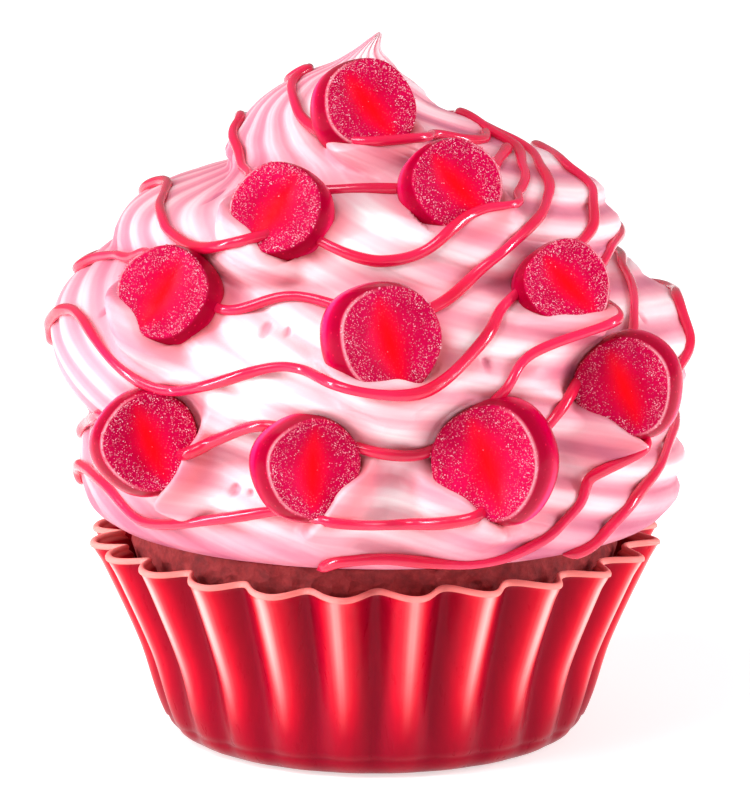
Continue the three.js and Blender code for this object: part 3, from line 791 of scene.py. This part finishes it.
def syrup_material():
    """Glossy syrup, paler where the bead is thin."""
    m = Nodes("drizzle")
    tone = m.maths("ADD", m.attribute("thin"), m.maths("MULTIPLY", m.noise(0.25, 2), 0.35))
    m.colour(m.ramp(tone, SYRUP_TINTS))
    m.rough(m.ramp(m.noise(0.8, 2), [(0.3, 0.14), (0.75, 0.26)]))
    m.set(Subsurface_Weight=0.25, Subsurface_Radius=(1.0, 0.12, 0.2), Subsurface_Scale=0.9 * MM,
          Specular_Tint=(1, 0.75, 0.85, 1), Coat_Weight=0.35, Coat_Roughness=0.08)
    m.bump(m.noise(0.9, 2), 0.04)
    return m.material


def jelly_material():
    """Red jelly: a sugared face with a clear crease, and a glossy side with a painted highlight low on it and
    a painted highlight along the rim of its face.
    """
    m = Nodes("sweet")
    grain = m.ramp(m.cells(3.2), [(0.12, 1.0), (0.34, 0.0)])
    cloud = m.ramp(m.noise(0.5, 3), [(0.35, 0.15), (0.7, 0.75)])
    sugared = m.maths("MULTIPLY", m.attribute("sugared"), m.maths("MULTIPLY", grain, cloud))
    face = m.mix(sugared, m.ramp(m.noise(0.3, 3), JELLY_FLESH), JELLY_SUGARED)
    face = m.mix(m.attribute("crease"), face, JELLY_CREASE)
    speck = m.ramp(m.cells(1.1), [(0.08, 1.0), (0.2, 0.0)])
    # painted highlight low on the glossy side, with real red specks
    side = m.mix(m.maths("MULTIPLY", speck, 0.5), m.ramp(m.attribute("belly_highlight"), JELLY_SIDE_AND_HIGHLIGHT), JELLY_SPECK)
    body = m.mix(m.attribute("face"), side, face)
    # painted highlight along the rim of the face
    m.colour(m.mix(m.attribute("rim"), body, JELLY_RIM_HIGHLIGHT))
    uncreased = m.maths("SUBTRACT", 1.0, m.attribute("crease"), clamp=True)
    matt = m.maths("MULTIPLY", m.attribute("face"), uncreased)
    m.rough(m.maths("ADD", 0.2, m.maths("MULTIPLY", matt, 0.3)))
    m.set(Subsurface_Weight=0.2, Subsurface_Radius=(1.0, 0.06, 0.12), Subsurface_Scale=1.2 * MM,
          Specular_IOR_Level=0.06, Specular_Tint=(1, 0.4, 0.72, 1))
    m.bump(m.maths("MULTIPLY", grain, matt), 0.06)
    m.bump(m.noise(0.6, 3), 0.06)
    return m.material


def sugar_material():
    """Sugar crystals, some of them soaked with red."""
    m = Nodes("sugar")
    m.colour(m.ramp(m.noise(1.4, 3), SUGAR_TINTS))
    m.rough(m.ramp(m.noise(4.0, 2), [(0.3, 0.2), (0.7, 0.45)]))
    m.set(Subsurface_Weight=0.3, Subsurface_Radius=(1.0, 0.4, 0.5), Subsurface_Scale=0.2 * MM,
          Specular_IOR_Level=0.4)
    return m.material


def cake_material():
    """Dark open crumb."""
    m = Nodes("cake")
    crumb = m.noise(0.5, 6, roughness=0.7)
    m.colour(m.ramp(crumb, CAKE_TINTS))
    m.rough(m.ramp(crumb, [(0.3, 0.75), (0.7, 0.95)]))
    m.set(Subsurface_Weight=0.1, Subsurface_Radius=(1.0, 0.3, 0.2), Subsurface_Scale=0.8 * MM)
    m.bump(m.cells(0.55), 0.5)
    m.bump(crumb, 0.35)
    return m.material


def case_material():
    """Coated paper, red with a fibre grain: painted shade darkens its grooves and leaves its crests bright,
    all of it darker towards the foot, with a painted highlight streak down each flute and a pale lip that
    carries a painted highlight stronger to the left and right.
    """
    m = Nodes("case")
    fibre = m.noise(0.9, 4, stretch=(1, 1, 0.12))
    # painted shade from crest to groove, varied by the paper's grain
    grain_and_shade = m.maths("ADD", m.attribute("crest"), m.maths("MULTIPLY", m.maths("SUBTRACT", fibre, 0.5), 0.2))
    # painted highlight streak down each flute
    red = m.mix(m.attribute("streak"), m.ramp(grain_and_shade, CASE_TINTS_AND_SHADES), CASE_HIGHLIGHT)
    # the pale lip, with a painted highlight stronger to the left and right
    m.colour(m.mix(m.attribute("lip"), red, CASE_LIP_AND_HIGHLIGHT))
    m.rough(m.ramp(fibre, [(0.3, 0.26), (0.7, 0.38)]))
    m.set(IOR=1.22, Specular_Tint=(1, 0.6, 0.65, 1), Subsurface_Weight=0.08,
          Subsurface_Radius=(1.0, 0.1, 0.1), Subsurface_Scale=0.8 * MM)
    m.bump(fibre, 0.04)
    m.bump(m.noise(0.08, 2, stretch=(1, 1, 0.4)), 0.3)
    return m.material


def dress(piece, material, slot, *nodes):
    """Gives a piece its material and its place in the model."""
    piece.data.materials.append(material)
    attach(piece, "root")
    if nodes:
        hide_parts(*nodes)


# The frosting

def beside_sweets(points):
    """How much a sweet's syrup stains the cream at each point, with a painted red glow mostly on the sweet's
    shaded side, and how much painted shade the sweet casts there.
    """
    stain_and_glow, shade = np.zeros(points.shape[:-1]), np.zeros(points.shape[:-1])
    for place in places:
        local = place.inward(points)
        share, angle = place.reach(local)
        near = bell(local[..., 2] / place.half, STAIN_GLOW_AND_SHADE_THICKNESS)
        shaded = 0.5 + 0.5 * np.cos(angle - place.lean - math.radians(SHADED_SIDE))
        # syrup stain with a painted red glow, mostly on the sweet's shaded side
        stain_and_glow = np.maximum(stain_and_glow, near * shaded**3 * bell(share - 1, STAIN_AND_GLOW_WIDTH))
        # painted shade that the sweet casts round it, strongest on its shaded side
        shade = np.maximum(shade, near * (0.35 + 0.65 * shaded) * bell(share - 1, SHADE_WIDTH))
    return stain_and_glow, shade


def tint_and_shade_causes(azimuth, height):
    """How much of each cause the mound has at a point, before the sweets are pressed in: its own faint tint,
    and painted shade from all the others.
    """
    turn = piping_turn(azimuth, height)
    seam = bell(turn - np.round(turn), SEAM_SHADE_WIDTH) * smooth(height, *SEAMS_BEGIN)
    fold = (0.5 + 0.5 * np.cos(2 * np.pi * (ridge_at(azimuth, height) + 0.12))) ** 1.6
    right = smooth(np.sin(azimuth), -0.15, 0.8)
    left = smooth(-np.sin(azimuth), 0.3, 0.95)
    top = smooth(height, *NEAR_TOP)
    patchy = 0.5 + 0.5 * np.sin(5 * azimuth + 0.31 * height + 1.7 * np.sin(0.2 * height + 2 * azimuth))
    # painted shade in the seams and folds, towards the sides and top, and near the case; the amount
    # everywhere is the cream's own tint
    return {
        "everywhere": 1.0, "right": right, "left": left, "upper left": left * top, "top": top, "seam": seam,
        "near case": (1 - smooth(height, *NEAR_CASE)) ** 1.4,
        "fold": fold, "right fold": fold * right, "patchy right fold": fold * right * patchy,
        "left fold": fold * left,
    }


def make_frosting(material):
    levels = np.linspace(MOUND[0][1], MOUND[-1][1], 1500)
    walked = walked_along(np.stack([levels, mound_radius(levels)], axis=-1))
    rows = np.interp(np.linspace(0, walked[-1], MOUND_ROWS), walked, levels)
    around = np.linspace(0, 2 * np.pi, MOUND_COLUMNS, endpoint=False)
    height, azimuth = np.meshgrid(rows, around, indexing="ij")
    fitted = cream(azimuth, height)
    streak = streaks(azimuth, height)
    bubble = in_bubble(azimuth, height)
    streak_share = smooth(height, *STREAKS_BEGIN) * (1 - smooth(height, *STREAKS_FADE))
    radius = fitted + STREAK_DEPTH * streak * streak_share - BUBBLE_DEPTH * bubble
    points = on_mound(azimuth, height, np.maximum(radius, 0.05))
    stain_and_glow, shade = beside_sweets(points)
    # painted shade, deeper where the cream is hollowed further round a sweet
    hollow = np.clip((mound(azimuth, height) - fitted) / HOLLOW_SHADE_DEPTH, 0, 1)
    causes = tint_and_shade_causes(azimuth, height)
    causes |= {"shade": shade, "hollow": hollow, "streak": streak, "bubble": bubble}
    # the cream's own faint tint and its painted shade, summed
    pink_and_shade = sum(PINK_AND_SHADE[cause] * amount for cause, amount in causes.items())
    first = np.array([0, 0, MOUND[0][1]])
    last = on_mound(0.0, MOUND[-1][1] + 0.2, 0.0)
    piece = tube("frosting_cream", points, first, last, [("pink_and_shade", np.clip(pink_and_shade, 0, 1)), ("stain_and_glow", stain_and_glow)])
    dress(piece, material, "frosting", "frosting")


# The drizzle

def bead_route(rows):
    """The bead's points as (azimuth, height), with waves round the back from each row to the next."""
    turns = [[(azimuth + 360 * turn, height) for azimuth, height in row] for turn, row in enumerate(rows)]
    route = list(turns[0])
    for before, after in zip(turns, turns[1:]):
        end, start = np.array(before[-1], float), np.array(after[0], float)
        for share in np.arange(1, BACK_POINTS + 1) / (BACK_POINTS + 1):
            wave = BACK_WAVE_HEIGHT * math.sin(2 * math.pi * BACK_WAVES * share) * math.sin(math.pi * share)
            route.append(end + (start - end) * share + (0, wave))
        route += after
    return np.array(route)


def bead_line(rows):
    """The middle of a bead, which spans the narrow dips in the cream and lies close to its ridges."""
    azimuth, height = spline(bead_route(rows), BEAD_SAMPLES).T
    azimuth = np.radians(azimuth)
    surface = cream(azimuth, height)
    spanning = (1 - SAG) * highest_near(surface, SPAN_REACH) + SAG * blur(surface, SAG_WIDTH)
    close = blur(highest_near(surface, CLOSE_REACH), CLOSE_WIDTH)
    resting = np.clip(blur(spanning, SPAN_WIDTH), close, close + LARGEST_GAP)
    return evenly(blur(on_mound(azimuth, height, resting + BEAD_LIFT), LINE_WIDTH), BEAD_STEP)


def make_bead(name, rows, material):
    line = bead_line(rows)
    along = np.gradient(line, axis=0)
    along /= np.linalg.norm(along, axis=1)[:, None]
    out = line * (1, 1, 0)
    out[:, 2] = BEAD_TILT * np.hypot(line[:, 0], line[:, 1])
    side = np.cross(out, along)
    side /= np.linalg.norm(side, axis=1)[:, None]
    up = np.cross(along, side)
    walked = np.arange(len(line)) * BEAD_STEP
    swell = 1 + sum(size * np.sin(walked / length + phase) for size, length, phase in BEAD_SWELLS)
    ends = np.minimum(smooth(walked, *BEAD_TAPER), smooth(walked[-1] - walked, *BEAD_TAPER))
    radius = BEAD_RADIUS * swell * (BEAD_TIP + (1 - BEAD_TIP) * ends)
    turn = np.linspace(0, 2 * np.pi, BEAD_SIDES, endpoint=False)[None, :, None]
    ring = BEAD_WIDENING * np.cos(turn) * side[:, None] + np.sin(turn) * up[:, None]
    rings = line[:, None] + radius[:, None, None] * ring
    thin = np.repeat((BEAD_THINNEST - swell)[:, None], BEAD_SIDES, axis=1)
    piece = tube(name, rings, line[0], line[-1], [("thin", thin)])
    dress(piece, material, "drizzle")


# The sweets

def dish(x, y, share):
    """How far the face is below its rim, in shares of the half thickness, and how much in the crease."""
    inside = 1 - smooth(share, *DISH_EDGE)
    length = np.clip(1 - (y / CREASE_LENGTH) ** 2, 0, 1)
    width = CREASE_END_WIDTH + CREASE_WIDENING * length
    crease = np.exp(-((np.abs(x) / width) ** 1.8)) * length**0.6
    cheeks = bell(np.abs(x) - CHEEK_AT, CHEEK_WIDTH) * inside
    return DISH_DEPTH * inside + CREASE_DEPTH * crease - CHEEK_HEIGHT * cheeks, crease


def sweet_points(place, share, angle, height):
    """Points of a sweet from shares of its radius and half thickness, and how far each is in the crease."""
    across = share * (1 + SWEET_TAPER * np.sin(angle)) * np.cos(angle)
    up = share * np.sin(angle)
    depth, crease = dish(across, up, share)
    on_face = height > FACE_LEVEL
    dented = np.where(on_face, height - depth, height)
    wobble = 1 + 0.018 * np.sin(3 * angle + place.phase) + 0.012 * np.sin(5 * angle + 2.25 * place.phase)
    spread = wobble * place.radius
    local = np.stack([across * spread, up * spread, dented * place.half], axis=-1)
    return place.outward(local), crease * on_face


def make_sweet(index, place, material):
    face_rings = [(share, 1.0) for share in np.linspace(FACE_EDGE, FACE_MIDDLE, FACE_RINGS)]
    profile = np.array(SWEET_SIDE + face_rings)
    around = np.linspace(0, 2 * np.pi, SWEET_COLUMNS, endpoint=False)
    share, angle = np.meshgrid(profile[:, 0], around, indexing="ij")
    height = np.repeat(profile[:, 1:], SWEET_COLUMNS, axis=1)
    points, crease = sweet_points(place, share, angle, height)
    face = smooth(height, 0.86, 0.97)
    sugared = (0.3 + 0.7 * smooth(share, 0.3, 0.8)) * (height > FACE_LEVEL)
    shown = smooth(np.cos(angle - place.shown_side), 0.1, 0.8)
    # painted highlight along the rim of the face, on the side where the band shows
    rim = RIM_HIGHLIGHT_STRENGTH * bell(share - RIM_HIGHLIGHT_AT, RIM_HIGHLIGHT_WIDTH) * (height > 0.9) * shown
    # painted highlight low on the side, stronger towards one flank
    belly_highlight = bell(height + 0.1, 0.38) * (0.45 + 0.55 * np.cos(angle - place.lean + 0.9) ** 2)
    first = place.outward(np.array([0, 0, -place.half]))
    last, _ = sweet_points(place, np.array(0.0), np.array(0.0), np.array(1.0))
    looks = [("face", face), ("crease", crease), ("sugared", sugared), ("rim", rim), ("belly_highlight", belly_highlight)]
    piece = tube(f"sweet_{index}_jelly", points, first, last, looks)
    dress(piece, material, "sweet", f"sweet_{index}")


def crystals_on(place):
    """Corners of sugar crystals half sunk in a sweet's face, fewer towards its crease."""
    count = CRYSTALS_PER_SWEET * CRYSTAL_TRIES
    share = np.sqrt(rng.uniform(0.0, SUGARED_SHARE**2, count))
    angle = rng.uniform(0, 2 * np.pi, count)
    across = share * (1 + SWEET_TAPER * np.sin(angle)) * np.cos(angle)
    _, crease = dish(across, share * np.sin(angle), share)
    chance = (0.3 + 0.7 * smooth(share, 0.3, 0.85) ** 1.3) * (1 - 0.97 * smooth(crease, 0.06, 0.4))
    kept = rng.uniform(0, 1, count) < chance
    share, angle = share[kept][:CRYSTALS_PER_SWEET], angle[kept][:CRYSTALS_PER_SWEET]
    middle, _ = sweet_points(place, share, angle, np.ones_like(share))
    half = rng.uniform(*CRYSTAL_SIZES, len(share)) * rng.uniform(*CRYSTAL_STRETCH, (3, len(share)))
    axes = np.linalg.qr(rng.normal(size=(len(share), 3, 3)))[0]
    corners = np.concatenate([np.eye(3), -np.eye(3)])
    offsets = np.einsum("ck,nkj->ncj", corners, axes * half.T[:, :, None])
    return middle[:, None] + offsets


def make_sugar(material):
    corners = np.concatenate([crystals_on(place) for place in places])
    first_corner = np.arange(len(corners))[:, None, None] * corners.shape[1]
    faces = (first_corner + np.array(CRYSTAL_SIDES)).reshape(-1, 3)
    piece = add_mesh("sugar_crystals", corners, faces, smooth_faces=False)
    dress(piece, material, "sugar")


# The case and the cake

case_crest = curve_through([(height, radius) for radius, height in CASE_OUTLINE])


def flute_depth(height):
    return (FOOT_FLUTE + (RIM_FLUTE - FOOT_FLUTE) * height / CASE_HEIGHT) * smooth(height, *FLUTES_BEGIN)


def case_section():
    """The case's section over a crest, from under its foot over the lip to its floor, as columns of radii,
    heights, and 1 on the lip."""
    foot = [(radius, 0.0, 0) for radius in np.linspace(FOOT_INNER_RADIUS, FOOT_RADIUS, 4)]
    foot += [
        (FOOT_RADIUS + FOOT_ROUND_WIDTH * math.sin(t), FOOT_ROUND_HEIGHT * (1 - math.cos(t)), 0)
        for t in np.linspace(0.15, 1.45, 12)
    ]
    wall = [(case_crest(h), h, 0) for h in np.linspace(WALL_FROM, CASE_HEIGHT - 0.8, 34)]
    middle = case_crest(CASE_HEIGHT) - CASE_WALL / 2
    lip = [
        (middle + LIP_RADIUS * math.cos(t), CASE_HEIGHT - LIP_RADIUS + LIP_RADIUS * math.sin(t), 1)
        for t in np.linspace(-0.5, 3.6, 14)
    ]
    inside = [(case_crest(h) - CASE_WALL, h, 0) for h in np.linspace(CASE_HEIGHT - 1.2, CASE_FLOOR + 0.2, 14)]
    inside += [(radius, CASE_FLOOR, 0) for radius in (CASE_FLOOR_RADIUS, FOOT_INNER_RADIUS)]
    return np.array(foot + wall + lip + inside, float).T[:, :, None]


def make_case(material):
    crest, height, on_lip = case_section()
    azimuth = np.linspace(0, 2 * np.pi, FLUTES * FLUTE_COLUMNS, endpoint=False)
    wave = np.cos(FLUTES * azimuth)
    inset = 1 + wave + FLUTE_CREASE * np.cos(2 * FLUTES * azimuth)
    radius = crest - flute_depth(height) * (1 + waves(azimuth, FLUTE_UNEVENNESS)) * inset
    rise = height + smooth(height, *RIM_FROM) * (waves(azimuth, RIM_WAVES) - RIM_DROP)
    rings = around_axis(azimuth, rise, radius)
    # painted shade: dark in the grooves and bright on the crests, all of it darker towards the foot
    crests = (0.5 - 0.5 * wave) * (0.15 + 0.85 * smooth(height, 1.5, 13))
    side = np.tanh(3 * np.sin(azimuth))
    # painted highlight: a pale streak down one flank of each flute, towards the nearer side, fading towards
    # the foot
    off_highlight = np.sin(0.5 * (FLUTES * azimuth - math.pi - 0.7 * side + 0.7 * np.sin(azimuth)))
    streak = bell(off_highlight, 0.18 + 0.06 * np.abs(side)) * (0.3 + 0.7 * np.abs(side))
    highlight_streak = 0.9 * streak * smooth(height, 5, 20)
    # the pale lip, with a painted highlight stronger to the left and right
    lip_and_highlight = on_lip * (0.6 + 0.4 * np.abs(side))
    looks = [("crest", crests), ("streak", highlight_streak), ("lip", lip_and_highlight)]
    piece = tube("case_paper", rings, (0, 0, 0), (0, 0, CASE_FLOOR), looks)
    dress(piece, material, "case", "case")


def make_cake(material):
    lip = CASE_HEIGHT - 1.2
    room = case_crest(lip) - CASE_WALL - 2 * RIM_FLUTE - CAKE_GAP
    edge = CAKE_TOP - CAKE_EDGE
    wall = [(CAKE_FOOT_RADIUS + (room - CAKE_FOOT_RADIUS) * t, CAKE_FOOT + (lip - CAKE_FOOT) * t)
            for t in np.linspace(0, 1, 12)]
    shoulder = [(room + (CAKE_CROWN_RADIUS - room) * t**2, lip + (edge - lip) * t)
                for t in np.linspace(0.08, 1, 22)]
    top = [(CAKE_CROWN_RADIUS - CAKE_EDGE_WIDTH * t, CAKE_TOP - CAKE_EDGE * (1 - t) ** 2)
           for t in np.linspace(0.1, 1, 8)]
    radii, heights = np.array(wall + shoulder + top + [(20.0, CAKE_TOP)]).T[:, :, None]
    azimuth = np.linspace(0, 2 * np.pi, CAKE_COLUMNS, endpoint=False)
    crumb = blur(blur(rng.normal(size=(len(radii), CAKE_COLUMNS)), 4).T, 1.2).T
    crumb *= CRUMB_DEPTH / crumb.std()
    crumb *= smooth(heights, lip - 3, lip) * (heights < CAKE_TOP - 0.05)
    rings = around_axis(azimuth, heights, radii - np.abs(crumb))
    piece = tube("cake_crumb", rings, (0, 0, CAKE_FOOT), (0, 0, CAKE_TOP))
    dress(piece, material, "cake", "cake")


# Floor, light and camera

def make_floor():
    bpy.ops.mesh.primitive_plane_add(size=8, location=(0, 0, 0))
    floor = bpy.context.object
    floor.name = "floor"
    m = Nodes("floor")
    m.colour(m.ramp(m.noise(0.002, 2), [(0.3, 0.68), (0.7, 0.72)]))
    m.set(Roughness=0.7, Emission_Color=(1, 1, 1, 1), Emission_Strength=0.62)
    floor.data.materials.append(m.material)


def aim(thing, direction):
    """Turns a light or camera to look in a direction."""
    thing.rotation_euler = Vector(direction).to_track_quat("-Z", "Y").to_euler()


def add_strip(name, place, width, height, power):
    light = bpy.data.lights.new(name, "AREA")
    light.shape = "RECTANGLE"
    light.size = width
    light.size_y = height
    light.energy = power
    strip = bpy.data.objects.new(name, light)
    strip.location = place
    aim(strip, Vector(CASE_MIDDLE) - Vector(place))
    bpy.context.scene.collection.objects.link(strip)


def light_scene():
    world = bpy.data.worlds.new("world")
    world.use_nodes = True
    background = world.node_tree.nodes["Background"]
    background.inputs["Color"].default_value = ROOM_COLOUR
    background.inputs["Strength"].default_value = ROOM_STRENGTH
    bpy.context.scene.world = world
    sun = bpy.data.lights.new("key", "SUN")
    sun.energy = KEY_POWER
    sun.angle = math.radians(KEY_SPREAD)
    key = bpy.data.objects.new("key", sun)
    aim(key, KEY_DIRECTION)
    bpy.context.scene.collection.objects.link(key)
    for strip in STRIPS:
        add_strip(*strip)
    bpy.context.scene.view_settings.view_transform = "Standard"


def add_camera():
    camera = bpy.data.objects.new("camera", bpy.data.cameras.new("camera"))
    camera.data.lens = LENS
    camera.data.sensor_width = 36
    camera.data.clip_end = 20
    camera.location = (0, -CAMERA_DISTANCE, CAMERA_HEIGHT)
    aim(camera, Vector((0, 0, AIM_HEIGHT)) - camera.location)
    bpy.context.scene.collection.objects.link(camera)
    bpy.context.scene.camera = camera


make_frosting(frosting_material())
syrup = syrup_material()
for number, rows in enumerate(BEADS, start=1):
    make_bead(f"drizzle_{number}", rows, syrup)
jelly = jelly_material()
for number, place in enumerate(places, start=1):
    make_sweet(number, place, jelly)
make_sugar(sugar_material())
make_case(case_material())
make_cake(cake_material())
make_floor()
light_scene()
add_camera()
